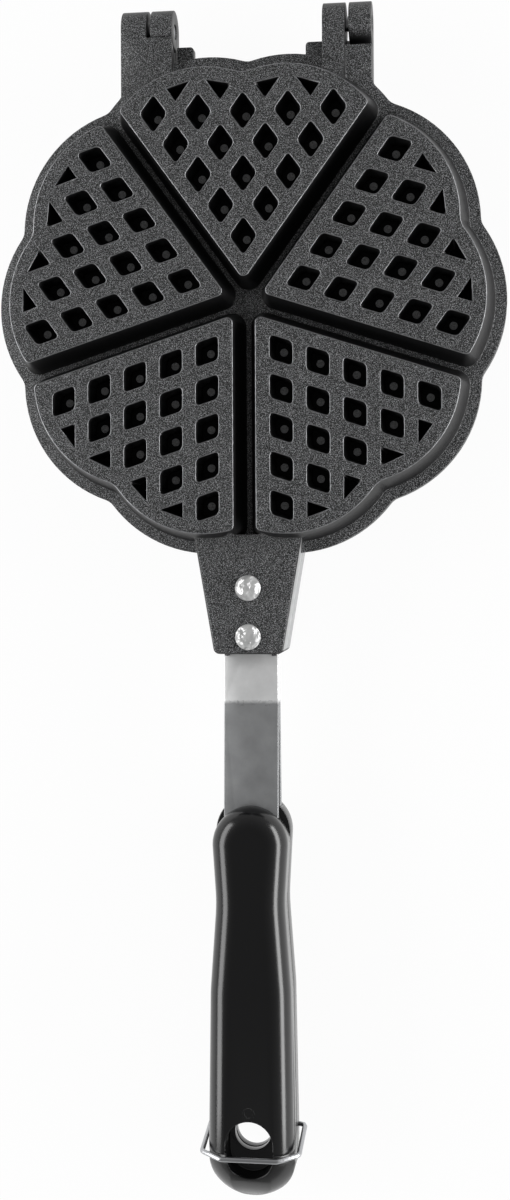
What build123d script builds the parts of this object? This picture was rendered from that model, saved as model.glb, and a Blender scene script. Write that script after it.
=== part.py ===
"""Stovetop waffle iron: two cast aluminium plates on a hinge, with moulded grips.

Each half is modelled in its own frame: the parting plane is z = 0, the outer side is +Z, the
plate's centre is x = y = 0, the hinge is towards +Y and the handle towards -Y. The upper half is
then lifted into place, and the lower half is turned half a turn about Y. The iron's own frame
stands on the lower plate's outer face, at the middle of the whole length. Units: millimetres.
"""

import os
from math import asin, cos, degrees, radians, sin, sqrt, tan

from build123d import *

# Plates
HALF_HEIGHT = 16.5  # parting plane to outer face
PARTING_GAP = 0.3  # between the closed halves
FLANGE_THICKNESS = 4.0
LOBE_RING_RADIUS = 43.0  # of the ring that carries the centres of the lobes' arcs
FLANGE_LOBE = 41.3  # radius of the flange's lobes
VALLEY_ROUND = 5.5  # inner corners of the flange, also beside the hinge arms
POD_SIDE = 0.9  # half the channel between two pods, at the flange
POD_LOBE = 37.6  # radius of a pod's lobes at the flange
POD_DRAFT = 12.6  # degrees
POD_CORNER = 4.6
POD_WALL = 1.6
POD_ROOF = 1.5

# Pits in the outer face, each backed by a peg inside
FIRST_PIT = 20.57  # plate centre to the centre of the innermost pit
PIT_ROWS = 5  # rows of whole pits; one more row is cut to the rim
PIT_SIDE = 7.85
PIT_DEPTH = 8.65
PIT_DRAFT = 7.0  # degrees
CLEFT_LAND = 5.7  # plain margin between the last whole pit and the cleft of the pod
RIM_LAND = 4.6  # plain margin between the part pits and the rim of the outer face
PEG_WALL = 1.2
PEG_TIP = 1.35

# Hinge
HINGE_Y = 92.2
BARREL_RADIUS = 6.9
EAR_INNER = 24.9  # plate centre to the inner side of the thin ear
EAR_WIDTH = 7.4
EAR_GAP = 1.2  # between an ear and the knuckles beside it
UPPER_KNUCKLE_WIDTH = 8.6
LOWER_KNUCKLE_WIDTH = 7.4
EAR_RELIEF = 0.8  # round the other half's ear
ROOT_GAP = 0.9  # between the flange and the other half's knuckle
PIN_RADIUS = 2.5
PIN_RUNNING = 0.06
PIN_RECESS = 0.4
ARM_FOOT_Y = 64.0  # where the arms start, inside the rear pod
SHOULDER_INNER = 18.8
SHOULDER_REACH = 87.0
SHOULDER_GAP = 0.5
SHOULDER_ROUND = 1.2

# Handle lug, strap and rivets
LUG_INNER_Y = 76.0
LUG_END_Y = 115.0
LUG_INNER_WIDTH = 35.8
LUG_END_WIDTH = 22.6
LUG_TOP = 9.7
LUG_CORNER = 2.2
LUG_EDGE = 0.6
NIB_INSET = 0.4  # from the strap's side to the nibs that hold it down
NIB_WIDTH = 1.6
NIB_REACH = 0.9
NIB_HEIGHT = 1.5
STRAP_WIDTH = 18.0
STRAP_THICKNESS = 2.0
STRAP_SEAT = 1.0  # parting plane to the strap's inner face
STRAP_START_Y = 86.0
STRAP_BEND_FROM_LUG = 16.0
STRAP_BEND = 3.0  # degrees, away from the other half
STRAP_IN_GRIP = 67.0  # length of strap held by the upper grip
STRAP_CLEARANCE = 0.1
RIVET_ROWS = {"front": 109.4, "rear": 93.4}
RIVET_RADIUS = 2.5
RIVET_HEAD_RADIUS = 4.4
RIVET_HEAD_HEIGHT = 1.6
RIVET_CROWN_RADIUS = 2.6  # flat middle of the head
RIVET_TAIL_RADIUS = 3.6
RIVET_TAIL_HEIGHT = 0.8

# Grips
GRIP_GAP = 0.3  # between the closed grips
GRIP_START_Y = 165.0
GRIP_TIP_Y = 294.5
LOWER_GRIP_EXTRA = 3.0  # how much nearer the plates the lower grip starts
GRIP_TOP = 14.3
GRIP_END_WIDTH = 24.9
GRIP_WAIST_WIDTH = 22.5
WAIST_FROM_START = 31.5
GRIP_FLARE_WIDTH = 26.6
FLARE_FROM_START = 60.0
GRIP_PALM_WIDTH = 28.3
GRIP_SIDE_ROUND = 60.0  # at the waist and at the end of the flare
GRIP_ROUND = 7.5
HOLE_FROM_TIP = 22.0
HOLE_RADIUS = 6.0
HOLE_WEB = 3.6
RECESS_WIDTH = 15.4
RECESS_LENGTH = 19.4
RECESS_SHIFT = 3.1  # centre of the recess, from the hole towards the tip
SCREW_FROM_START = 48.0
SCREW_RADIUS = 2.0
SCREW_HEAD_RADIUS = 3.6
SCREW_HEAD_HEIGHT = 2.4
SCREW_HEAD_SUNK = 1.0
SCREW_LENGTH = 9.5
SCREW_CLEARANCE = 0.3

# Latch bail
WIRE_RADIUS = 0.8
BAR_FROM_PIVOT = 4.4
BAR_INSET = 5.0  # from the palm's side to the end of the straight bar
BAR_LIFT = 0.3  # between the wire and the nose of the upper grip
LEG_OUTSET = 1.75  # from the palm's side to the middle of the leg
BAIL_DIAGONAL_DROP = 4.5
PIVOT_FROM_TIP = 21.0
PIVOT_DEPTH = 9.0  # parting plane to the pivot, in the lower grip
PIVOT_REACH = 3.75  # how far the wire's ends reach into the lower grip
PIVOT_RUNNING = 0.08
WIRE_BEND = 1.7
NOSE_STEP = 0.5  # height of the step that the wire snaps behind
NOSE_DOME = 17.0  # radius of the dome at the tip of each grip
BEND_STEPS = 2  # short straights in each bend of the wire

WEDGE = 36.0  # half the angle of one heart-shaped pod, in degrees
LOBE_ANGLE = WEDGE / 2
FLOOR = PARTING_GAP / 2
STRAP_BEND_Y = LUG_END_Y + STRAP_BEND_FROM_LUG
STRAP_END_Y = GRIP_START_Y + STRAP_IN_GRIP
SCREW_Y = GRIP_START_Y + SCREW_FROM_START
GRIP_WAIST_Y = GRIP_START_Y + WAIST_FROM_START
GRIP_FLARE_Y = GRIP_START_Y + FLARE_FROM_START
HOLE_Y = GRIP_TIP_Y - HOLE_FROM_TIP
PIVOT_Y = GRIP_TIP_Y - PIVOT_FROM_TIP
PIVOT_INNER = GRIP_PALM_WIDTH / 2 - PIVOT_REACH
BAIL_LEG_X = GRIP_PALM_WIDTH / 2 + LEG_OUTSET
BAR_Y = PIVOT_Y + BAR_FROM_PIVOT
BAR_HALF = GRIP_PALM_WIDTH / 2 - BAR_INSET
BAR_Z = GRIP_TOP - NOSE_STEP + BAR_LIFT + WIRE_RADIUS
BAR_REACH = sqrt((BAR_Y - PIVOT_Y) ** 2 + (BAR_Z + PIVOT_DEPTH) ** 2)  # from the pivot
ELBOW_REACH = BAR_REACH * (1 - BAIL_DIAGONAL_DROP / (BAR_Z + PIVOT_DEPTH))


def polar(radius, angle):
    return (radius * cos(radians(angle)), radius * sin(radians(angle)))


def around(part, angles):
    return [Rot(0, 0, angle) * part for angle in angles]


# Plates


def lobe_reach(lobe, offset=0.0):
    """How far out a lobe's arc is met by a line at the given offset from the wedge's ray."""
    across = LOBE_RING_RADIUS * sin(radians(LOBE_ANGLE)) - offset
    return LOBE_RING_RADIUS * cos(radians(LOBE_ANGLE)) + sqrt(lobe**2 - across**2)


def with_round_valleys(outline):
    grown = offset(outline, VALLEY_ROUND, kind=Kind.ARC)
    return offset(grown, -VALLEY_ROUND, kind=Kind.ARC)


def flange_outline(knuckle_end, root_end):
    """Ten equal lobes, with roots under the wide arm on -X and round the thin ear on +X."""
    valley = lobe_reach(FLANGE_LOBE)
    peak = LOBE_RING_RADIUS + FLANGE_LOBE
    arcs = [
        ThreePointArc(
            polar(valley, angle - LOBE_ANGLE), polar(peak, angle), polar(valley, angle + LOBE_ANGLE)
        )
        for angle in range(0, 360, int(WEDGE))
    ]
    lobes = make_face(arcs)
    root_y = HINGE_Y - BARREL_RADIUS - ROOT_GAP
    roots = [
        Pos((start + end) / 2, root_y / 2) * Rectangle(abs(end - start), root_y)
        for start, end in ((-EAR_INNER, -knuckle_end), (EAR_INNER, root_end))
    ]
    between = Rectangle(2 * EAR_INNER, 4 * peak)
    return (with_round_valleys(lobes) & between) + (with_round_valleys(lobes + roots) - between)


def drawn_in(height):
    """How far a drafted wall has moved inward at a height above the parting plane."""
    return (height - FLANGE_THICKNESS) * tan(radians(POD_DRAFT))


def heart(side, lobe):
    """Two straight sides from the apex and two lobes, about the +X axis, with sharp corners."""
    along = lobe_reach(lobe, side)
    corner = Vector(*polar(along, WEDGE)) + Vector(*polar(side, WEDGE - 90))
    peak = polar(LOBE_RING_RADIUS + lobe, LOBE_ANGLE)
    cleft = (lobe_reach(lobe), 0)
    far_half = [
        Line((side / sin(radians(WEDGE)), 0), corner),
        ThreePointArc(corner, peak, cleft),
    ]
    near_half = [mirror(edge, Plane.XZ) for edge in far_half]
    return make_face(near_half + far_half)  # anticlockwise, so that it rises when extruded


def rhombus(side):
    reach, half = side * cos(radians(WEDGE)), side * sin(radians(WEDGE))
    return Polygon((reach, 0), (0, half), (-reach, 0), (0, -half))


def top_lobe():
    return POD_LOBE - drawn_in(HALF_HEIGHT)


def pitch():
    """The whole pits share the way from the innermost pit to the margin at the cleft."""
    last = lobe_reach(top_lobe()) - CLEFT_LAND - PIT_SIDE * cos(radians(WEDGE))
    return (last - FIRST_PIT) / ((PIT_ROWS - 1) * cos(radians(WEDGE)))


def cut_to_rim(pit, x, y, rim):
    """A part pit: the rhombus cut square to the line from its lobe's centre."""
    turn = LOBE_ANGLE if y > 0 else -LOBE_ANGLE
    lobe = Vector(*polar(LOBE_RING_RADIUS, turn))
    out = Vector(x, y) - lobe
    angle = out.get_signed_angle(Vector(1, 0, 0), Vector(0, 0, -1))
    inside = Rectangle(2 * rim, 2 * rim, align=(Align.MAX, Align.CENTER))
    return pit & (Rot(0, 0, angle) * Pos(rim - out.length, 0) * inside)


def pit_field(side, depth, rim):
    """Tapered rhombic plugs that hang from the outer face; the outer row is cut to the rim."""
    plugs = []
    for row in range(PIT_ROWS + 1):
        for place in range(row + 1):
            if row == PIT_ROWS and place in (0, row):
                continue
            x = FIRST_PIT + row * pitch() * cos(radians(WEDGE))
            y = (2 * place - row) * pitch() * sin(radians(WEDGE))
            pit = rhombus(side)
            if row == PIT_ROWS:
                pit = cut_to_rim(pit, x, y, rim)
            plug = extrude(mirror(pit, Plane.XZ), depth, taper=PIT_DRAFT)
            plugs.append(Pos(x, y, HALF_HEIGHT) * Rot(180, 0, 0) * plug)
    return plugs


def pod():
    """One heart-shaped pod with its pits, on the +X axis."""
    outline = heart(POD_SIDE, POD_LOBE)
    outline = fillet(outline.vertices(), POD_CORNER)
    height = HALF_HEIGHT - FLANGE_THICKNESS
    body = Pos(0, 0, FLANGE_THICKNESS) * extrude(outline, height, taper=POD_DRAFT)
    return body - pit_field(PIT_SIDE, PIT_DEPTH, top_lobe() - RIM_LAND)


def pod_cavity():
    """The hollow of one pod, with its pegs left standing."""
    inset = POD_WALL + drawn_in(0)
    outline = heart(POD_SIDE + inset, POD_LOBE - inset)
    outline = fillet(outline.vertices().sort_by(Axis.X)[0], POD_CORNER)
    hollow = extrude(outline, HALF_HEIGHT - POD_ROOF, taper=POD_DRAFT)
    side = PIT_SIDE + 2 * PEG_WALL / sin(radians(2 * WEDGE))
    return hollow - pit_field(side, PIT_DEPTH + PEG_TIP, top_lobe() - RIM_LAND + PEG_WALL)


# Hinge


def knuckle_face():
    return EAR_INNER + EAR_WIDTH + EAR_GAP


def barrel(radius, start, end):
    """A cylinder on the hinge axis, between two places along X."""
    across = Rot(0, 90, 0) * Cylinder(radius, abs(end - start))
    return Pos((start + end) / 2, HINGE_Y, 0) * across


def arm(start, end):
    """A flat-backed arm from inside the flange to the hinge axis."""
    width, reach, height = abs(end - start), HINGE_Y - ARM_FOOT_Y, BARREL_RADIUS - FLOOR
    block = Box(width, reach, height, align=(Align.MIN, Align.MIN, Align.MIN))
    return Pos(min(start, end), ARM_FOOT_Y, FLOOR) * block


def hinge_arms(knuckle_end):
    """The thin ear on +X and the wide arm with the knuckle on -X."""
    ear_end = EAR_INNER + EAR_WIDTH
    wide = arm(-EAR_INNER, -knuckle_end)
    wide -= barrel(BARREL_RADIUS + EAR_RELIEF, 0, -knuckle_face())
    wide += barrel(BARREL_RADIUS, -knuckle_face(), -knuckle_end)
    return [arm(EAR_INNER, ear_end) + barrel(BARREL_RADIUS, EAR_INNER, ear_end), wide]


def hinge_bores(knuckle_end):
    """The pin is pressed in the ear and runs in the other half's knuckle."""
    running = PIN_RADIUS + PIN_RUNNING
    return [
        barrel(PIN_RADIUS, EAR_INNER - EAR_GAP, knuckle_face()),
        barrel(running, EAR_GAP - knuckle_face(), -knuckle_end - EAR_GAP),
    ]


def hinge_pin(knuckle_width):
    """The pin of one half's ear, as long as the other half's knuckle needs."""
    return barrel(PIN_RADIUS, EAR_INNER + PIN_RECESS, knuckle_face() + knuckle_width - PIN_RECESS)


def shoulders():
    """Two short steps between the arms, on the lower half only."""
    width = EAR_INNER - SHOULDER_GAP - SHOULDER_INNER
    reach = SHOULDER_REACH - ARM_FOOT_Y
    step = Pos(SHOULDER_INNER, ARM_FOOT_Y) * Rectangle(width, reach, align=(Align.MIN, Align.MIN))
    corner = step.vertices().sort_by(Axis.Y)[-2:].sort_by(Axis.X)[0]
    step = Pos(0, 0, FLOOR) * extrude(fillet(corner, SHOULDER_ROUND), FLANGE_THICKNESS - FLOOR)
    return [step, mirror(step, Plane.YZ)]


# Handle lug, strap and rivets


def strap(grow=0.0, end_y=STRAP_END_Y):
    """The flat strap with its slight bend, or the slot for it when grown."""
    rise = (end_y - STRAP_BEND_Y) * tan(radians(STRAP_BEND))
    low, high = STRAP_SEAT - grow, STRAP_SEAT + STRAP_THICKNESS + grow
    start = -(STRAP_START_Y - grow)
    profile = Polygon(
        (start, low),
        (start, high),
        (-STRAP_BEND_Y, high),
        (-end_y, high + rise),
        (-end_y, low + rise),
        (-STRAP_BEND_Y, low),
        align=None,
    )
    return extrude(Plane.YZ * profile, STRAP_WIDTH / 2 + grow, both=True)


def lug():
    outline = Polygon(
        (-LUG_END_WIDTH / 2, -LUG_END_Y),
        (LUG_END_WIDTH / 2, -LUG_END_Y),
        (LUG_INNER_WIDTH / 2, -LUG_INNER_Y),
        (-LUG_INNER_WIDTH / 2, -LUG_INNER_Y),
        align=None,
    )
    outline = fillet(outline.vertices().sort_by(Axis.Y)[:2], LUG_CORNER)
    block = Pos(0, 0, FLOOR) * extrude(outline, LUG_TOP - FLOOR)
    return chamfer(block.faces().sort_by(Axis.Z)[-1].edges(), LUG_EDGE)


def nibs():
    """Two small nibs on the end of the lug that hold the strap down."""
    nib = Box(
        NIB_WIDTH, NIB_REACH + LUG_EDGE, NIB_HEIGHT, align=(Align.MAX, Align.MIN, Align.MIN)
    )
    side = STRAP_WIDTH / 2 - NIB_INSET
    nib = Pos(side, -LUG_END_Y - NIB_REACH, STRAP_SEAT + STRAP_THICKNESS) * nib
    return [nib, mirror(nib, Plane.YZ)]


def strap_channel():
    """The strap's seat, open to the parting plane."""
    depth = STRAP_SEAT + STRAP_THICKNESS
    reach = LUG_END_Y + LUG_CORNER - STRAP_START_Y
    channel = Box(
        STRAP_WIDTH + 2 * STRAP_CLEARANCE, reach, depth, align=(Align.CENTER, Align.MAX, Align.MIN)
    )
    return Pos(0, -STRAP_START_Y + STRAP_CLEARANCE, 0) * channel


def rivet_hole(row):
    return Pos(0, -RIVET_ROWS[row], 0) * Cylinder(RIVET_RADIUS, 3 * LUG_TOP)


def rivet(row):
    """Head on the lug, shank through lug and strap, tail spread on the strap."""
    crown_z = LUG_TOP + RIVET_HEAD_HEIGHT
    profile = Polygon(
        (0, STRAP_SEAT - RIVET_TAIL_HEIGHT),
        (RIVET_TAIL_RADIUS, STRAP_SEAT - RIVET_TAIL_HEIGHT),
        (RIVET_TAIL_RADIUS, STRAP_SEAT),
        (RIVET_RADIUS, STRAP_SEAT),
        (RIVET_RADIUS, LUG_TOP),
        (RIVET_HEAD_RADIUS, LUG_TOP),
        (RIVET_CROWN_RADIUS, crown_z),
        (0, crown_z),
        align=None,
    )
    return Pos(0, -RIVET_ROWS[row], 0) * revolve(Plane.XZ * profile, Axis.Z)


def plate(own_knuckle, other_knuckle, with_shoulders):
    """One casting: flange, five pods, hinge arms and handle lug."""
    knuckle_end = knuckle_face() + own_knuckle
    outline = flange_outline(knuckle_end, knuckle_face() + other_knuckle)
    body = Pos(0, 0, FLOOR) * extrude(outline, FLANGE_THICKNESS - FLOOR)
    body += hinge_arms(knuckle_end)
    body += [lug(), *nibs()]
    if with_shoulders:
        body += shoulders()
    wedges = [90 + 2 * WEDGE * turn for turn in range(5)]
    body += around(pod(), wedges)
    body -= around(pod_cavity(), wedges)
    body -= hinge_bores(knuckle_end)
    return body - [strap_channel(), rivet_hole("front"), rivet_hole("rear")]


# Grips


def touch(point, centre, radius):
    """Where the line from a point touches a circle, on the side away from the grip's middle."""
    line = Vector(*centre) - Vector(*point)
    swing = degrees(asin(radius / line.length))
    reach = sqrt(line.length**2 - radius**2)
    turned = [line.rotate(Axis.Z, turn).normalized() * reach for turn in (swing, -swing)]
    return max((Vector(*point) + arm for arm in turned), key=lambda place: place.X)


def grip_outline(start_y):
    """Plan of a grip: round strap end, waist, flare, slow swell and a round tip."""
    end, palm = GRIP_END_WIDTH / 2, GRIP_PALM_WIDTH / 2
    waist = (GRIP_WAIST_WIDTH / 2, -GRIP_WAIST_Y)
    flare = (GRIP_FLARE_WIDTH / 2, -GRIP_FLARE_Y)
    end_touch = touch(waist, (0, -start_y - end), end)
    tip_touch = touch(flare, (0, palm - GRIP_TIP_Y), palm)
    side = [Line(end_touch, waist), Line(waist, flare), Line(flare, tip_touch)]
    ends = [
        ThreePointArc(place, (0, y), (-place.X, place.Y))
        for place, y in ((end_touch, -start_y), (tip_touch, -GRIP_TIP_Y))
    ]
    outline = make_face(side + ends + [mirror(edge, Plane.YZ) for edge in side])
    bends = [v for v in outline.vertices() if -tip_touch.Y - FLOOR > -v.Y > -end_touch.Y + FLOOR]
    return fillet(bends, GRIP_SIDE_ROUND)


def grip_side(start_y):
    """Side view of a grip: flat parting face, flat back and a nose about the bail's pivot."""
    radius = GRIP_TOP + PIVOT_DEPTH
    low = GRIP_GAP / 2
    foot = PIVOT_Y + sqrt(radius**2 - (PIVOT_DEPTH + low) ** 2)
    middle = (PIVOT_Y + radius * sin(radians(30)), radius * cos(radians(30)) - PIVOT_DEPTH)
    profile = [
        Line((-start_y, low), (-start_y, GRIP_TOP)),
        Line((-start_y, GRIP_TOP), (-PIVOT_Y, GRIP_TOP)),
        ThreePointArc((-PIVOT_Y, GRIP_TOP), (-middle[0], middle[1]), (-foot, low)),
        Line((-foot, low), (-start_y, low)),
    ]
    return extrude(Plane.YZ * make_face(profile), GRIP_PALM_WIDTH, both=True)


def nose_cut():
    """Domes the nose behind a small step, so that the bail's wire can swing over it."""
    clearance = WIRE_RADIUS + BAR_LIFT
    half = [(BAIL_LEG_X, -clearance), (BAIL_LEG_X, ELBOW_REACH), (BAR_HALF, BAR_REACH)]
    wire = Polygon(half + [(-x, reach) for x, reach in reversed(half)], align=None)
    inside = revolve(offset(wire, -clearance, kind=Kind.INTERSECTION), Axis.X)
    step_y = BAR_Y - clearance
    behind = Box(
        4 * GRIP_PALM_WIDTH,
        4 * BAR_REACH,
        4 * BAR_REACH,
        align=(Align.CENTER, Align.MAX, Align.MIN),
    )
    dome = Pos(0, NOSE_DOME - GRIP_TIP_Y, GRIP_TOP - NOSE_DOME) * Sphere(NOSE_DOME)
    nose = dome & (Pos(0, -PIVOT_Y, -PIVOT_DEPTH) * inside)
    return Pos(0, -step_y, 0) * behind - nose


def hang_recess():
    """Oval recess round the hang hole, down to the web."""
    straight = RECESS_LENGTH - RECESS_WIDTH
    oval = SlotCenterToCenter(straight, RECESS_WIDTH, rotation=90)
    web_top = GRIP_GAP / 2 + HOLE_WEB
    return Pos(0, -HOLE_Y - RECESS_SHIFT, web_top) * extrude(oval, GRIP_TOP)


def screw_parts(clearance):
    """Head and shank of the grip's screw from the parting face, or the room for them."""
    head_low = 0 if clearance else SCREW_HEAD_SUNK
    head_top = SCREW_HEAD_SUNK + SCREW_HEAD_HEIGHT
    head = Pos(0, -SCREW_Y, head_low) * Cylinder(
        SCREW_HEAD_RADIUS + clearance,
        head_top - head_low,
        align=(Align.CENTER, Align.CENTER, Align.MIN),
    )
    shank = Pos(0, -SCREW_Y, head_top) * Cylinder(
        SCREW_RADIUS, SCREW_LENGTH, align=(Align.CENTER, Align.CENTER, Align.MIN)
    )
    return head + shank


def grip(start_y):
    body = Pos(0, 0, GRIP_GAP / 2) * extrude(grip_outline(start_y), GRIP_TOP - GRIP_GAP / 2)
    body = fillet(body.faces().sort_by(Axis.Z)[-1].edges(), GRIP_ROUND)
    body = body & grip_side(start_y)
    body -= nose_cut()
    body -= hang_recess()
    body -= Pos(0, -HOLE_Y, 0) * Cylinder(HOLE_RADIUS, 2 * GRIP_TOP)
    body -= strap(STRAP_CLEARANCE, STRAP_END_Y + STRAP_CLEARANCE)
    return body - screw_parts(SCREW_CLEARANCE)


def pivot_holes():
    """Blind holes in the lower grip's sides for the bail's ends."""
    depth = GRIP_PALM_WIDTH - PIVOT_INNER
    hole = Rot(0, 90, 0) * Cylinder(
        WIRE_RADIUS + PIVOT_RUNNING, depth, align=(Align.CENTER, Align.CENTER, Align.MIN)
    )
    hole = Pos(PIVOT_INNER - BAR_LIFT, -PIVOT_Y, PIVOT_DEPTH) * hole
    return [hole, mirror(hole, Plane.YZ)]


def bent(corners):
    """The route through the corners, each one bent to the wire's radius in short straights."""
    route = [corners[0]]
    for before, corner, after in zip(corners, corners[1:], corners[2:]):
        back, on = (before - corner).normalized(), (after - corner).normalized()
        half = radians(back.get_angle(on)) / 2
        centre = corner + (back + on).normalized() * (WIRE_BEND / sin(half))
        arms = [corner + way * (WIRE_BEND / tan(half)) - centre for way in (back, on)]
        total = arms[0].get_angle(arms[1])
        normal = arms[0].cross(arms[1]).normalized()
        for step in range(BEND_STEPS + 1):
            turned = arms[0].rotate(Axis((0, 0, 0), normal), total * step / BEND_STEPS)
            route.append(centre + turned)
    return route + [corners[-1]]


def bail():
    """One bent wire: a bar over the upper grip, two legs and two pivots, seen latched."""
    slope = (BAR_Y - PIVOT_Y) / (BAR_Z + PIVOT_DEPTH)
    elbow_z = BAR_Z - BAIL_DIAGONAL_DROP
    elbow_y = -BAR_Y + slope * BAIL_DIAGONAL_DROP
    half = [
        Vector(PIVOT_INNER, -PIVOT_Y, -PIVOT_DEPTH),
        Vector(BAIL_LEG_X, -PIVOT_Y, -PIVOT_DEPTH),
        Vector(BAIL_LEG_X, elbow_y, elbow_z),
        Vector(BAR_HALF, -BAR_Y, BAR_Z),
    ]
    corners = half + [Vector(-place.X, place.Y, place.Z) for place in reversed(half)]
    path = Polyline(*bent(corners))
    section = Plane(path @ 0, z_dir=path % 0) * Circle(WIRE_RADIUS)
    return sweep(section, path=path, transition=Transition.RIGHT)


# The whole iron


def middle_y():
    back = HINGE_Y + BARREL_RADIUS
    return (back - GRIP_TIP_Y) / 2


def upper(part):
    return Pos(0, -middle_y(), HALF_HEIGHT) * part


def lower(part):
    return Pos(0, -middle_y(), HALF_HEIGHT) * Rot(0, 180, 0) * part


def strap_with_holes():
    body = strap() - [rivet_hole("front"), rivet_hole("rear")]
    return body - Pos(0, -SCREW_Y, 0) * Cylinder(SCREW_RADIUS + SCREW_CLEARANCE, 4 * GRIP_TOP)


def build_nodes():
    strap_part = strap_with_holes()
    screw = screw_parts(0)
    nodes = {
        "upper_plate": upper(plate(UPPER_KNUCKLE_WIDTH, LOWER_KNUCKLE_WIDTH, False)),
        "lower_plate": lower(plate(LOWER_KNUCKLE_WIDTH, UPPER_KNUCKLE_WIDTH, True)),
        "upper_strap": upper(strap_part),
        "lower_strap": lower(strap_part),
        "upper_grip": upper(grip(GRIP_START_Y)),
        "lower_grip": lower(grip(GRIP_START_Y - LOWER_GRIP_EXTRA) - pivot_holes()),
        "upper_grip_screw": upper(screw),
        "lower_grip_screw": lower(screw),
        "upper_hinge_pin": upper(hinge_pin(LOWER_KNUCKLE_WIDTH)),
        "lower_hinge_pin": lower(hinge_pin(UPPER_KNUCKLE_WIDTH)),
        "latch_bail": upper(bail()),
    }
    for row in RIVET_ROWS:
        nodes[f"upper_{row}_rivet"] = upper(rivet(row))
        nodes[f"lower_{row}_rivet"] = lower(rivet(row))
    return nodes


os.makedirs("parts", exist_ok=True)
for name, shape in build_nodes().items():
    export_step(shape, f"parts/{name}.step")
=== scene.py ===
"""A stovetop waffle iron: two cast plates on a hinge, each with a strap and a moulded grip."""

from math import cos, pi, radians, sin

import bmesh
import bpy
from mathutils import Matrix, Vector


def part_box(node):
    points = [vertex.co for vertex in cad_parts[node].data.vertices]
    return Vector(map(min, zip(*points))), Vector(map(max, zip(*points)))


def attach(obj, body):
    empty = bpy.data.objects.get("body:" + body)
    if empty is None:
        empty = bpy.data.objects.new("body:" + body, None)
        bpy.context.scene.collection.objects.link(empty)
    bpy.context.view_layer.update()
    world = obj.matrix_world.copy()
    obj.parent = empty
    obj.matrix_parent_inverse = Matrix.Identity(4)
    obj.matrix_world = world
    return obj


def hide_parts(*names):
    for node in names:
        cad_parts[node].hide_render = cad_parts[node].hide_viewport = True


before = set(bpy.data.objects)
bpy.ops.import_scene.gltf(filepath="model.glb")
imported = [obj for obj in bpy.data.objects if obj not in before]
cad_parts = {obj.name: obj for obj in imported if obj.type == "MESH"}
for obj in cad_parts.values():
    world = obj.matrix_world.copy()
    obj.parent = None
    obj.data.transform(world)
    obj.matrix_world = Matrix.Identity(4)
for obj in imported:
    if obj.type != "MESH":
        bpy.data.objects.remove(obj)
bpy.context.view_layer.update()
scene = bpy.context.scene


# --- Plates ---------------------------------------------------------------------------------
# Two gravity die castings in aluminium, the lower one with two more shoulders at its hinge. Each
# has five heart-shaped pods whose pits stand out inside as pegs. They are shot-blasted, then
# sprayed with a grey non-stick coating that carries fine metal flake, and baked.

MM = 0.001

# The castings. Sizes are in millimetres and angles in degrees.
PLATE_SHIFT = 97.7  # how far the plates' centre lies behind the frame's origin
HALF_HEIGHT = 16.5  # from the parting plane to an outer face
PODS = 5
WEDGE = 180 / PODS  # half the angle between two pods
PIT_DEPTH = 8.65
PIT_ROWS = 5
FIRST_PIT = 20.57  # from the plate's centre to the innermost pit
PITCH = 12.5
FLANGE_REACH = 6.0  # the flange and its inner lips lie this near the parting plane
LUG_ROOT_Y = 13.0  # the lug lies this side of it
LUG_CHANNEL_X = 9.5  # the strap's channel lies within it
HINGE_ROOT_Y = 172.0  # the ears and knuckles lie beyond it

# Their round edges.
PIT_CORNER = 1.4
CUT_PIT_CORNER = 0.9
WHOLE_WALL = 5.0  # the walls of the pits that the pod's outline cuts are narrower
TIGHT_WALL = 2.2  # a wall narrower than this keeps its corners
SHARPEST_CORNER = 118  # a corner that turns further keeps its edge
RIM_EDGE = 0.25
PLATE_EDGE = 0.22

# The low marks of the ejector pins.
MARK_RADIUS = 1.4
MARK_HEIGHT = 0.12
MARK_LIP = 0.35
MARK_SINK = 0.07  # of the middle below the lip
MARK_SIDES = 16

# How near is near enough, and the parts of a face's unit normal that tell which face it is.
WELD = 0.002
SNAP = 0.01
LEVEL = 0.99  # a level face has at least this much up or down
WALL = 0.3  # a wall has less than this
SIDEWAYS = 0.9  # a side of the lug has more than this to the left or right

# The castings' finishes and painted light, by material slot, and the sizes of their grain.
COATED, PIT_SHADE, GROUND, RIM_HIGHLIGHT, LIGHT_MARK = range(5)
FLAKE_GRAIN = 0.28  # clusters of flakes, as coarse as they need to show; real ones are finer
BLAST_GRIT = 0.35
PIT_MOTTLE = 0.9
RIM_GLINT_MOTTLE = 1.2
MARK_MOTTLE = 0.5
GRINDING = 0.5
FACTOR, COLOUR_A, COLOUR_B, MIXED = 0, 6, 7, 2  # the numbers of a Mix node's colour sockets


def merged_copy(node):
    """A bmesh of a CAD solid with its loose triangles merged."""
    solid = bmesh.new()
    solid.from_mesh(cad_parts[node].data)
    bmesh.ops.remove_doubles(solid, verts=solid.verts, dist=WELD * MM)
    return solid


def round_edges(solid, edges, width, segments):
    """Rounds the given edges by a width in millimetres and returns the new faces."""
    made = bmesh.ops.bevel(
        solid,
        geom=list(edges),
        offset=width * MM,
        offset_type="OFFSET",
        affect="EDGES",
        segments=segments,
        profile=0.5,
        material=-1,
        clamp_overlap=False,
        loop_slide=False,
    )
    return made["faces"]


def sharp_edges(solid, degrees):
    return [e for e in solid.edges if e.is_manifold and e.calc_face_angle(0) > radians(degrees)]


def finished(solid, name, body, nodes, material, crease=40):
    """Makes the piece: smooth shading up to a crease angle, its finish, body and CAD nodes."""
    mesh = bpy.data.meshes.new(name)
    solid.to_mesh(mesh)
    solid.free()
    mesh.shade_smooth()
    mesh.set_sharp_from_angle(angle=radians(crease))
    mesh.materials.append(material)
    piece = bpy.data.objects.new(name, mesh)
    scene.collection.objects.link(piece)
    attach(piece, body)
    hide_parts(*nodes)
    return piece


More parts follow.
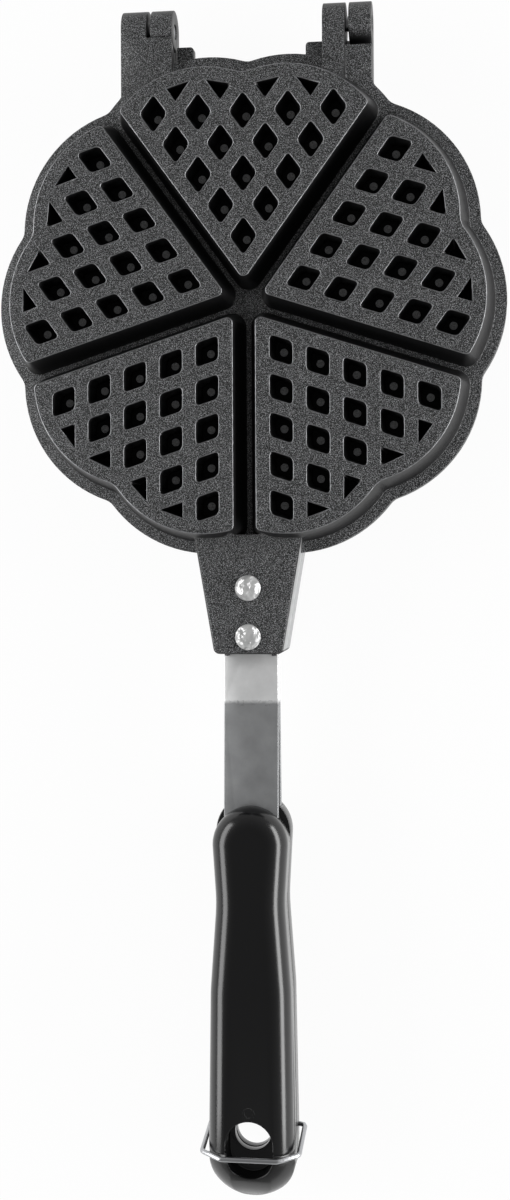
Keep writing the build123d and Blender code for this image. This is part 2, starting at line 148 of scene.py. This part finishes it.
def linear(colour):
    """An sRGB hex colour as the linear values that the sockets take."""
    parts = [int(colour[place : place + 2], 16) / 255 for place in (1, 3, 5)]
    return [c / 12.92 if c <= 0.04045 else ((c + 0.055) / 1.055) ** 2.4 for c in parts] + [1]


def new_material(name):
    material = bpy.data.materials.new(name)
    material.use_nodes = True
    return material, material.node_tree.nodes["Principled BSDF"]


def add(material, kind, inputs=None, **settings):
    """Adds a node with its settings; an input that is another node's socket becomes a link."""
    node = material.node_tree.nodes.new("ShaderNode" + kind)
    for name, value in settings.items():
        setattr(node, name, value)
    for name, value in (inputs or {}).items():
        if isinstance(value, bpy.types.NodeSocket):
            material.node_tree.links.new(value, node.inputs[name])
        else:
            node.inputs[name].default_value = value
    return node


def join(material, output, target):
    material.node_tree.links.new(output, target)


# Non-stick coating sprayed square on to both sides. Its metal flake shows as grain on the faces
# that look up or down; the drafted walls are painted near black instead, as painted shade.
coating, coat = new_material("flake_nonstick_coating")
space = add(coating, "TexCoord")
place = space.outputs["Object"]
direction = add(coating, "SeparateXYZ", {"Vector": space.outputs["Normal"]})
level = add(coating, "Math", {0: direction.outputs["Z"]}, operation="ABSOLUTE")
level_vs_wall_shade = add(
    coating,
    "MapRange",
    {"Value": level.outputs["Value"], "From Min": 0.5, "From Max": 0.95},
    interpolation_type="SMOOTHSTEP",
)
# The pattern is turned, so that no face of the casting lies along the noise's own grid.
lie = add(coating, "Mapping", {"Vector": place, "Rotation": (0.7, 0.5, 0.3)})
flakes = add(
    coating,
    "TexNoise",
    {"Vector": lie.outputs["Vector"], "Scale": 1 / (FLAKE_GRAIN * MM), "Detail": 1.0},
)
sparkle = add(
    coating,
    "MapRange",
    {"Value": flakes.outputs["Fac"], "From Min": 0.48, "From Max": 0.74},
)
grain = add(
    coating,
    "Mix",
    {FACTOR: sparkle.outputs["Result"], COLOUR_A: linear("#0b0c0c"), COLOUR_B: linear("#adaeb0")},
    data_type="RGBA",
)
# The walls' near black is painted shade; the level faces take the flake grain.
grain_with_wall_shade = add(
    coating,
    "Mix",
    {
        FACTOR: level_vs_wall_shade.outputs["Result"],
        COLOUR_A: linear("#111112"),
        COLOUR_B: grain.outputs[MIXED],
    },
    data_type="RGBA",
)
join(coating, grain_with_wall_shade.outputs[MIXED], coat.inputs["Base Color"])
coat.inputs["Roughness"].default_value = 0.42
grit = add(coating, "TexNoise", {"Vector": place, "Scale": 1 / (BLAST_GRIT * MM), "Detail": 2.0})
blast = add(
    coating,
    "Bump",
    {"Height": grit.outputs["Fac"], "Strength": 0.4, "Distance": 0.06 * MM},
)
join(coating, blast.outputs["Normal"], coat.inputs["Normal"])

# The floors of the pits are painted almost black, as painted shade for the deep, narrow pits.
pit_shade_paint, pit_shade_surface = new_material("pit_floor_painted_shade")
place = add(pit_shade_paint, "TexCoord").outputs["Object"]
pit_shade_mottle = add(
    pit_shade_paint, "TexNoise", {"Vector": place, "Scale": 1 / (PIT_MOTTLE * MM), "Detail": 3.0}
)
pit_shade_tone = add(
    pit_shade_paint,
    "Mix",
    {FACTOR: pit_shade_mottle.outputs["Fac"], COLOUR_A: linear("#050505"), COLOUR_B: linear("#19191a")},
    data_type="RGBA",
)
join(pit_shade_paint, pit_shade_tone.outputs[MIXED], pit_shade_surface.inputs["Base Color"])
pit_shade_surface.inputs["Roughness"].default_value = 0.7
pit_shade_surface.inputs["Specular IOR Level"].default_value = 0.2

# The round edges of the pods' rims take a bright glossy metal, a painted highlight
# that shows them as thin glinting lines.
rim_highlight_paint, rim_highlight_surface = new_material("rim_painted_highlight")
place = add(rim_highlight_paint, "TexCoord").outputs["Object"]
rim_glint_mottle = add(rim_highlight_paint, "TexNoise", {"Vector": place, "Scale": 1 / (RIM_GLINT_MOTTLE * MM), "Detail": 3.0})
rim_highlight_tone = add(
    rim_highlight_paint,
    "Mix",
    {FACTOR: rim_glint_mottle.outputs["Fac"], COLOUR_A: linear("#3a3b3c"), COLOUR_B: linear("#b0b1b3")},
    data_type="RGBA",
)
join(rim_highlight_paint, rim_highlight_tone.outputs[MIXED], rim_highlight_surface.inputs["Base Color"])
rim_highlight_surface.inputs["Metallic"].default_value = 0.8
rim_highlight_surface.inputs["Roughness"].default_value = 0.3

# The low marks that the ejector pins leave are painted light, a painted highlight that lifts
# them out of the pits' shade.
light_mark_paint, light_mark_surface = new_material("ejector_mark_painted_highlight")
place = add(light_mark_paint, "TexCoord").outputs["Object"]
mark_mottle = add(light_mark_paint, "TexNoise", {"Vector": place, "Scale": 1 / (MARK_MOTTLE * MM), "Detail": 2.0})
mark_tone = add(
    light_mark_paint,
    "Mix",
    {FACTOR: mark_mottle.outputs["Fac"], COLOUR_A: linear("#4a4b4c"), COLOUR_B: linear("#f4f5f6")},
    data_type="RGBA",
)
join(light_mark_paint, mark_tone.outputs[MIXED], light_mark_surface.inputs["Base Color"])
light_mark_surface.inputs["Roughness"].default_value = 0.5

# The flash on the sides of the lug is ground off after coating, down to the bare aluminium.
bare, bare_surface = new_material("ground_bare_aluminium")
bare_surface.inputs["Metallic"].default_value = 1.0
place = add(bare, "TexCoord").outputs["Object"]
strokes = add(bare, "Mapping", {"Vector": place, "Scale": (1, 0.12, 1)})
ground = add(
    bare,
    "TexNoise",
    {"Vector": strokes.outputs["Vector"], "Scale": 1 / (GRINDING * MM), "Detail": 3.0},
)
bare_tone = add(
    bare,
    "Mix",
    {FACTOR: ground.outputs["Fac"], COLOUR_A: linear("#7c7d7e"), COLOUR_B: linear("#dddede")},
    data_type="RGBA",
)
join(bare, bare_tone.outputs[MIXED], bare_surface.inputs["Base Color"])
bare_surface.inputs["Roughness"].default_value = 0.45


def turned_pods(side):
    """The places of the pods in the frame: side is 1 for the upper half and -1 for the lower."""
    middle = Matrix.Translation((0, PLATE_SHIFT * MM, HALF_HEIGHT * MM))
    half = middle @ (Matrix.Identity(4) if side > 0 else Matrix.Rotation(pi, 4, "Y"))
    return [half @ Matrix.Rotation(radians(90 + 2 * WEDGE * turn), 4, "Z") for turn in range(PODS)]


def pit_places():
    """The middles of a pod's whole pits at their floors, from the middle of the plates."""
    along, across = PITCH * cos(radians(WEDGE)), PITCH * sin(radians(WEDGE))
    floor = HALF_HEIGHT - PIT_DEPTH
    return [
        Vector((FIRST_PIT + row * along, (2 * step - row) * across, floor)) * MM
        for row in range(PIT_ROWS)
        for step in range(row + 1)
    ]


def add_ejector_marks(solid, side):
    """A low round mark with a raised lip in the floor of every whole pit."""
    for pod in turned_pods(side):
        for pit in pit_places():
            mark = bmesh.ops.create_cone(
                solid,
                cap_ends=True,
                segments=MARK_SIDES,
                radius1=MARK_RADIUS * MM,
                radius2=(MARK_RADIUS - MARK_HEIGHT) * MM,
                depth=2 * MARK_HEIGHT * MM,
                matrix=pod @ Matrix.Translation(pit),
            )
            faces = {f for v in mark["verts"] for f in v.link_faces}
            # Each mark is painted light, as a painted highlight.
            for face in faces:
                face.material_index = LIGHT_MARK
                face.normal_update()
            top = [f for f in faces if f.normal.z * side > LEVEL]
            bmesh.ops.inset_region(
                solid, faces=top, thickness=MARK_LIP * MM, depth=-MARK_SINK * MM
            )


def is_pit_floor(face):
    depth = abs(face.calc_center_median().z / MM - HALF_HEIGHT)
    return abs(face.normal.z) > LEVEL and abs(depth - (HALF_HEIGHT - PIT_DEPTH)) < SNAP


def is_lug_side(face):
    place = face.calc_center_median() / MM
    return abs(face.normal.x) > SIDEWAYS and place.y < LUG_ROOT_Y and abs(place.x) > LUG_CHANNEL_X


def is_wall_or_floor(face):
    return abs(face.normal.z) < WALL or is_pit_floor(face)


def depths(edge):
    """How far an edge's two ends lie from the parting plane, in millimetres."""
    return [abs(v.co.z / MM - HALF_HEIGHT) for v in edge.verts]


def is_upright(edge):
    """Whether an edge runs down most of a pit's depth."""
    return abs(edge.verts[0].co.z - edge.verts[1].co.z) > 0.8 * PIT_DEPTH * MM


def narrowest_wall(edge):
    """The width in millimetres of the narrowest wall that meets an upright edge."""
    beside = [e for v in edge.verts for e in v.link_edges if e is not edge]
    creases = [e for e in beside if e.is_manifold and e.calc_face_angle(0) > radians(20)]
    return min(e.calc_length() for e in creases) / MM


def pit_corners(solid):
    """The upright edges of the pits and of the pegs behind them."""
    upright = [e for e in sharp_edges(solid, 50) if is_upright(e)]
    return [e for e in upright if e.calc_face_angle(0) < radians(SHARPEST_CORNER)]


def is_on_outer_face(edge):
    return min(depths(edge)) > HALF_HEIGHT - SNAP


def is_outside_pods(edge):
    """Whether an edge is on the flange, the lug or the hinge, clear of the pits and pegs."""
    y = (edge.verts[0].co.y + edge.verts[1].co.y) / 2 / MM
    return max(depths(edge)) < FLANGE_REACH or not LUG_ROOT_Y < y < HINGE_ROOT_Y


for half, side in (("upper", 1), ("lower", -1)):
    casting = merged_copy(half + "_plate")
    # The walls' triangles are paired first, so that the rims' round edges stay even.
    bmesh.ops.join_triangles(
        casting,
        faces=[f for f in casting.faces if is_wall_or_floor(f)],
        angle_face_threshold=radians(1),
        angle_shape_threshold=pi,
    )
    whole = [e for e in pit_corners(casting) if narrowest_wall(e) > WHOLE_WALL]
    cut = [e for e in pit_corners(casting) if TIGHT_WALL < narrowest_wall(e) <= WHOLE_WALL]
    round_edges(casting, cut, CUT_PIT_CORNER, 3)
    round_edges(casting, whole, PIT_CORNER, 3)
    # Pit floors take the painted shade, the lug's sides their bare metal, the rest the coating.
    for face in casting.faces:
        if is_pit_floor(face):
            face.material_index = PIT_SHADE
        elif is_lug_side(face):
            face.material_index = GROUND
        else:
            face.material_index = COATED
    # The rims' round edges take the painted highlight.
    rims = [e for e in sharp_edges(casting, 28) if is_on_outer_face(e)]
    for face in round_edges(casting, rims, RIM_EDGE, 3):
        face.material_index = RIM_HIGHLIGHT
    others = [e for e in sharp_edges(casting, 45) if is_outside_pods(e) and not is_upright(e)]
    round_edges(casting, others, PLATE_EDGE, 2)
    add_ejector_marks(casting, side)
    plate = finished(casting, half + "_casting", half, [half + "_plate"], coating)
    for finish in (pit_shade_paint, bare, rim_highlight_paint, light_mark_paint):
        plate.data.materials.append(finish)


# --- Hinge pins -----------------------------------------------------------------------------
# Two short ground steel pins, pressed into the thin ear of each casting and running in the
# other's knuckle. Their ends are turned flat with a small radius.

PIN_EDGE = 0.3
SCRATCH = 0.4

steel, steel_surface = new_material("ground_steel")
steel_surface.inputs["Base Color"].default_value = linear("#b5b6b8")
steel_surface.inputs["Metallic"].default_value = 1.0
place = add(steel, "TexCoord").outputs["Object"]
scratches = add(steel, "TexNoise", {"Vector": place, "Scale": 1 / (SCRATCH * MM), "Detail": 3.0})
rough = add(
    steel, "MapRange", {"Value": scratches.outputs["Fac"], "To Min": 0.22, "To Max": 0.42}
)
join(steel, rough.outputs["Result"], steel_surface.inputs["Roughness"])

for half in ("upper", "lower"):
    pin = merged_copy(half + "_hinge_pin")
    round_edges(pin, sharp_edges(pin, 45), PIN_EDGE, 2)
    finished(pin, half + "_pin", half, [half + "_hinge_pin"], steel)


# --- Straps ---------------------------------------------------------------------------------
# Two flat straps of cold-rolled steel, bent a few degrees, riveted in the castings' lugs and
# screwed in the grips. The rolling leaves a fine grain along them, and the edges are tumbled.

STRAP_EDGE = 0.3
POLISH_START = -33.3  # where the polish begins, in Y, near the bend
POLISH_FADE = 1.2  # the length over which it comes in
WAVER = 1.6  # how far its line wanders
DIRT_LINE = -32.9
DIRT_REACH = 1.0  # either side of the line
ROLLING = 0.6  # the widths of the grain, the stains and the specks
STAIN = 7.0
SPECKLE = 1.6

strap_steel, strap_surface = new_material("cold_rolled_steel")
place = add(strap_steel, "TexCoord").outputs["Object"]
along = add(strap_steel, "Mapping", {"Vector": place, "Scale": (1, 0.05, 1)})
rolling = add(
    strap_steel,
    "TexNoise",
    {"Vector": along.outputs["Vector"], "Scale": 1 / (ROLLING * MM), "Detail": 3.0},
)
stain = add(strap_steel, "TexNoise", {"Vector": place, "Scale": 1 / (STAIN * MM), "Detail": 4.0})
speckle = add(
    strap_steel, "TexNoise", {"Vector": place, "Scale": 1 / (SPECKLE * MM), "Detail": 4.0}
)
reach = add(strap_steel, "SeparateXYZ", {"Vector": place})
ragged = add(
    strap_steel,
    "Math",
    {0: speckle.outputs["Fac"], 1: WAVER * MM, 2: reach.outputs["Y"]},
    operation="MULTIPLY_ADD",
)
# The straight end is polished bright for the rivets; beyond the bend the mill finish is left.
polished = add(
    strap_steel,
    "MapRange",
    {
        "Value": ragged.outputs["Value"],
        "From Min": POLISH_START * MM,
        "From Max": (POLISH_START + POLISH_FADE) * MM,
    },
)
mill = add(
    strap_steel,
    "Mix",
    {FACTOR: stain.outputs["Fac"], COLOUR_A: linear("#7e7f80"), COLOUR_B: linear("#a6a7a8")},
    data_type="RGBA",
)
bright = add(
    strap_steel,
    "Mix",
    {FACTOR: stain.outputs["Fac"], COLOUR_A: linear("#cfd0d0"), COLOUR_B: linear("#fafafa")},
    data_type="RGBA",
)
tone = add(
    strap_steel,
    "Mix",
    {
        FACTOR: polished.outputs["Result"],
        COLOUR_A: mill.outputs[MIXED],
        COLOUR_B: bright.outputs[MIXED],
    },
    data_type="RGBA",
)
# Polishing dirt is left in specks along the line between the two.
dirt_line = add(
    strap_steel,
    "Math",
    {0: ragged.outputs["Value"], 1: DIRT_LINE * MM, 2: DIRT_REACH * MM},
    operation="COMPARE",
)
specks = add(
    strap_steel,
    "MapRange",
    {"Value": speckle.outputs["Fac"], "From Min": 0.52, "From Max": 0.66, "To Max": 0.45},
)
dirt = add(
    strap_steel,
    "Math",
    {0: dirt_line.outputs["Value"], 1: specks.outputs["Result"]},
    operation="MULTIPLY",
)
dirty = add(
    strap_steel,
    "Mix",
    {FACTOR: dirt.outputs["Value"], COLOUR_A: tone.outputs[MIXED], COLOUR_B: linear("#2a2a2b")},
    data_type="RGBA",
)
join(strap_steel, dirty.outputs[MIXED], strap_surface.inputs["Base Color"])
strap_surface.inputs["Metallic"].default_value = 0.6
strap_surface.inputs["Roughness"].default_value = 0.5
rolled = add(
    strap_steel,
    "Bump",
    {"Height": rolling.outputs["Fac"], "Strength": 0.15, "Distance": 0.02 * MM},
)
join(strap_steel, rolled.outputs["Normal"], strap_surface.inputs["Normal"])

for half in ("upper", "lower"):
    strap = merged_copy(half + "_strap")
    round_edges(strap, sharp_edges(strap, 45), STRAP_EDGE, 2)
    finished(strap, half + "_steel_strap", half, [half + "_strap"], strap_steel)


# --- Rivets ---------------------------------------------------------------------------------
# Solid aluminium rivets, two in each lug. The made heads are shallow domes left bright and a
# little uneven by the hammer; the tails are spread flat on the strap.

RIVET_EDGE = 0.35
SWIRL = 3.0
DENT = 2.2

rivet_metal, rivet_surface = new_material("hammered_aluminium")
rivet_surface.inputs["Metallic"].default_value = 0.5
rivet_surface.inputs["Roughness"].default_value = 0.35
place = add(rivet_metal, "TexCoord").outputs["Object"]
swirl = add(rivet_metal, "TexNoise", {"Vector": place, "Scale": 1 / (SWIRL * MM), "Detail": 3.0})
bent = add(
    rivet_metal,
    "VectorMath",
    {0: swirl.outputs["Color"], 1: [SWIRL * MM] * 3, 2: place},
    operation="MULTIPLY_ADD",
)
dents = add(
    rivet_metal, "TexVoronoi", {"Vector": bent.outputs["Vector"], "Scale": 1 / (DENT * MM)}
)
rivet_tone = add(
    rivet_metal,
    "Mix",
    {FACTOR: swirl.outputs["Fac"], COLOUR_A: linear("#a8a9a9"), COLOUR_B: linear("#fbfbfa")},
    data_type="RGBA",
)
join(rivet_metal, rivet_tone.outputs[MIXED], rivet_surface.inputs["Base Color"])
hammer = add(
    rivet_metal,
    "Bump",
    {"Height": dents.outputs["Distance"], "Strength": 1.0, "Distance": 0.6 * MM},
)
join(rivet_metal, hammer.outputs["Normal"], rivet_surface.inputs["Normal"])

for half in ("upper", "lower"):
    for row in ("front", "rear"):
        node = f"{half}_{row}_rivet"
        rivet = merged_copy(node)
        round_edges(rivet, sharp_edges(rivet, 20), RIVET_EDGE, 3)
        finished(rivet, node + "_head", half, [node], rivet_metal, crease=60)


# --- Grips ----------------------------------------------------------------------------------
# Two grips moulded in black phenolic plastic, each one solid piece with a slot for its strap.
# They come from a polished mould, so the surface is glossy with a faint orange peel.

GRIP_EDGE = 0.4
ORANGE_PEEL = 3.5
GATE_FROM_TIP = 31.0
GATE_RADIUS = 1.6
GATE_LIP = 0.35  # either side of the radius

plastic, plastic_surface = new_material("polished_phenolic")
plastic_surface.inputs["Base Color"].default_value = linear("#0b0b0c")
plastic_surface.inputs["Roughness"].default_value = 0.2
plastic_surface.inputs["IOR"].default_value = 1.55
place = add(plastic, "TexCoord").outputs["Object"]
peel = add(plastic, "TexNoise", {"Vector": place, "Scale": 1 / (ORANGE_PEEL * MM), "Detail": 2.0})
skin = add(
    plastic,
    "Bump",
    {"Height": peel.outputs["Fac"], "Strength": 0.15, "Distance": 0.06 * MM},
)
# The mould's gate leaves a small ring by the hanging hole.
gate_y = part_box("upper_grip")[0][1] + GATE_FROM_TIP * MM
flat = add(plastic, "Mapping", {"Vector": place, "Location": (0, -gate_y, 0), "Scale": (1, 1, 0)})
from_gate = add(plastic, "VectorMath", {0: flat.outputs["Vector"]}, operation="LENGTH")
on_ring = add(
    plastic,
    "Math",
    {0: from_gate.outputs["Value"], 1: GATE_RADIUS * MM, 2: GATE_LIP * MM},
    operation="COMPARE",
)
gate = add(
    plastic,
    "Bump",
    {
        "Height": on_ring.outputs["Value"],
        "Normal": skin.outputs["Normal"],
        "Strength": 0.6,
        "Distance": 0.15 * MM,
    },
)
join(plastic, gate.outputs["Normal"], plastic_surface.inputs["Normal"])

for half in ("upper", "lower"):
    grip = merged_copy(half + "_grip")
    round_edges(grip, sharp_edges(grip, 35), GRIP_EDGE, 3)
    finished(grip, half + "_moulded_grip", half, [half + "_grip"], plastic)


# --- Grip screws ----------------------------------------------------------------------------
# A zinc-plated pan-head screw clamps each strap in its grip, from the parting side. Its plating
# is as bright as the ground steel of the hinge pins, and takes the same finish.

SCREW_EDGE = 0.4

for half in ("upper", "lower"):
    screw = merged_copy(half + "_grip_screw")
    round_edges(screw, sharp_edges(screw, 45), SCREW_EDGE, 3)
    finished(screw, half + "_pan_screw", half, [half + "_grip_screw"], steel)


# --- Latch bail -----------------------------------------------------------------------------
# A bail bent from bright drawn spring wire. Its ends turn in the lower grip, and its bar snaps
# over the nose of the upper grip.

wire = merged_copy("latch_bail")
finished(wire, "wire_bail", "bail", ["latch_bail"], steel, crease=60)


# --- Floor, light and camera ----------------------------------------------------------------
# A matt white floor under a sky that darkens overhead, with a long soft lamp low on each side.
# What the camera sees of the floor is mostly its own plain white; the rest keeps the shadow.

FLOOR_SIZE = 6.0  # in metres, as the places of the lamps and the camera are
PLAIN_WHITE = 0.95
SKY_ALL_ROUND = 0.5
SKY_OVERHEAD = 0.17
LENS = 51.14
LENS_SHIFT = -0.0591
CAMERA_PLACE = (0.07907, 0.02061, 0.5766)
CAMERA_RIGHT = (0.99044, -0.00504, -0.13788)
CAMERA_UP = (0.00572, 0.99997, 0.00450)
CAMERA_BACK = (0.13785, -0.00525, 0.99044)

floor_paint, floor_surface = new_material("matt_white_paint")
floor_surface.inputs["Base Color"].default_value = linear("#ffffff")
floor_surface.inputs["Roughness"].default_value = 0.9
floor_surface.inputs["Specular IOR Level"].default_value = 0.0
ray = add(floor_paint, "LightPath")
seen = add(
    floor_paint,
    "Math",
    {0: ray.outputs["Is Camera Ray"], 1: ray.outputs["Is Glossy Ray"]},
    operation="MAXIMUM",
)
share = add(floor_paint, "Math", {0: seen.outputs["Value"], 1: PLAIN_WHITE}, operation="MULTIPLY")
plain = add(floor_paint, "Emission", {"Color": linear("#ffffff"), "Strength": 1.0})
blend = add(floor_paint, "MixShader", {0: share.outputs["Value"]})
join(floor_paint, floor_surface.outputs["BSDF"], blend.inputs[1])
join(floor_paint, plain.outputs["Emission"], blend.inputs[2])
floor_output = floor_paint.node_tree.nodes["Material Output"]
join(floor_paint, blend.outputs["Shader"], floor_output.inputs["Surface"])
floor_mesh = bmesh.new()
bmesh.ops.create_grid(floor_mesh, x_segments=1, y_segments=1, size=FLOOR_SIZE / 2)
mesh = bpy.data.meshes.new("floor")
floor_mesh.to_mesh(mesh)
floor_mesh.free()
mesh.materials.append(floor_paint)
floor = bpy.data.objects.new("floor", mesh)
scene.collection.objects.link(floor)

world = bpy.data.worlds.new("studio")
scene.world = world
world.use_nodes = True
sky = world.node_tree.nodes["Background"]
sky.inputs["Color"].default_value = linear("#ffffff")
aloft = add(world, "SeparateXYZ", {"Vector": add(world, "TexCoord").outputs["Generated"]})
fade = add(
    world,
    "MapRange",
    {"Value": aloft.outputs["Z"], "To Min": SKY_ALL_ROUND, "To Max": SKY_OVERHEAD},
)
join(world, fade.outputs["Result"], sky.inputs["Strength"])


def soft_lamp(name, place, size, power):
    """A lamp aimed at the middle of the object; its long side lies along Y."""
    lamp = bpy.data.lights.new(name, "AREA")
    lamp.shape = "RECTANGLE"
    lamp.size, lamp.size_y = size
    lamp.energy = power
    holder = bpy.data.objects.new(name, lamp)
    aim = (-Vector(place)).to_track_quat("-Z", "Y")
    holder.matrix_world = Matrix.Translation(place) @ aim.to_matrix().to_4x4()
    scene.collection.objects.link(holder)


soft_lamp("left_lamp", (-1.0, 0.0, 0.5), (1.6, 0.5), 12)
soft_lamp("right_lamp", (1.0, 0.0, 0.25), (1.6, 0.35), 14)

# The camera looks down on the upper plate, a little from the right.
camera = bpy.data.cameras.new("camera")
camera.sensor_fit = "VERTICAL"
camera.sensor_height = 36
camera.lens = LENS
camera.shift_y = LENS_SHIFT
eye = bpy.data.objects.new("camera", camera)
scene.collection.objects.link(eye)
turn = Matrix((CAMERA_RIGHT, CAMERA_UP, CAMERA_BACK)).transposed().to_4x4()
eye.matrix_world = Matrix.Translation(CAMERA_PLACE) @ turn
scene.camera = eye
scene.view_settings.view_transform = "Standard"
